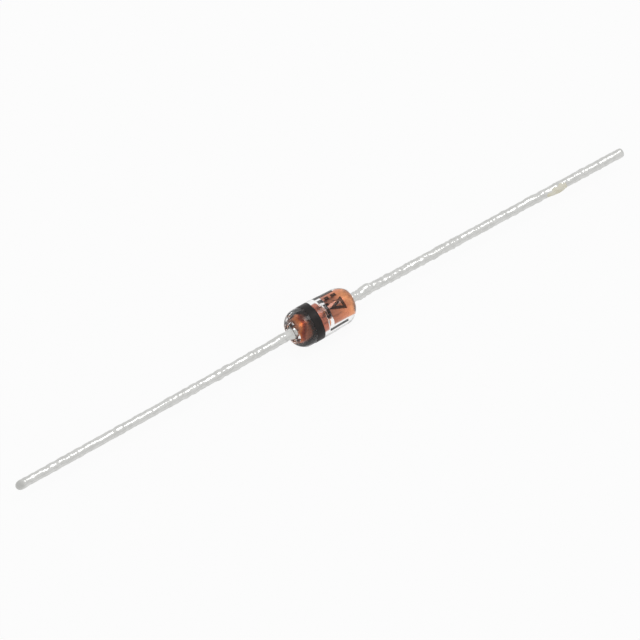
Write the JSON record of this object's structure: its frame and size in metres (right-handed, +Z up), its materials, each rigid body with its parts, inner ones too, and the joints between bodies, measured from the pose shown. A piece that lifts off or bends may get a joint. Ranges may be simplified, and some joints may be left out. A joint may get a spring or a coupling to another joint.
{
  "type": "zener diode",
  "caption": "Axial zener diode: a fused glass sleeve round copper slugs and a silicon die, with a black cathode band and straight tinned wire leads for soldering.",
  "frame": {"origin": "middle of the glass sleeve, on the lead axis, midway between the lead tips", "axes": "+X along the leads from the cathode (banded) end to the anode end, +Z up, +Y to the left of +X"},
  "size_m": [0.039, 0.0022, 0.0022],
  "materials": {
    "clear_glass": "clear fused glass, fire-polished ends",
    "slug_copper": "copper-clad slug, lightly oxidised by the seal",
    "die_silicon": "sawn silicon",
    "bump_silver": "plated silver",
    "lead_tin": "hot-dipped tin, bright and slightly wavy",
    "band_ink": "printed black ink"
  },
  "bodies": {
    "root": {"glass_sleeve": "clear_glass", "cathode_slug": "slug_copper", "anode_slug": "slug_copper", "zener_die": "die_silicon", "contact_bump": "bump_silver", "cathode_lead": "lead_tin", "anode_lead": "lead_tin", "cathode_band": "band_ink"}
  },
  "joints": []
}
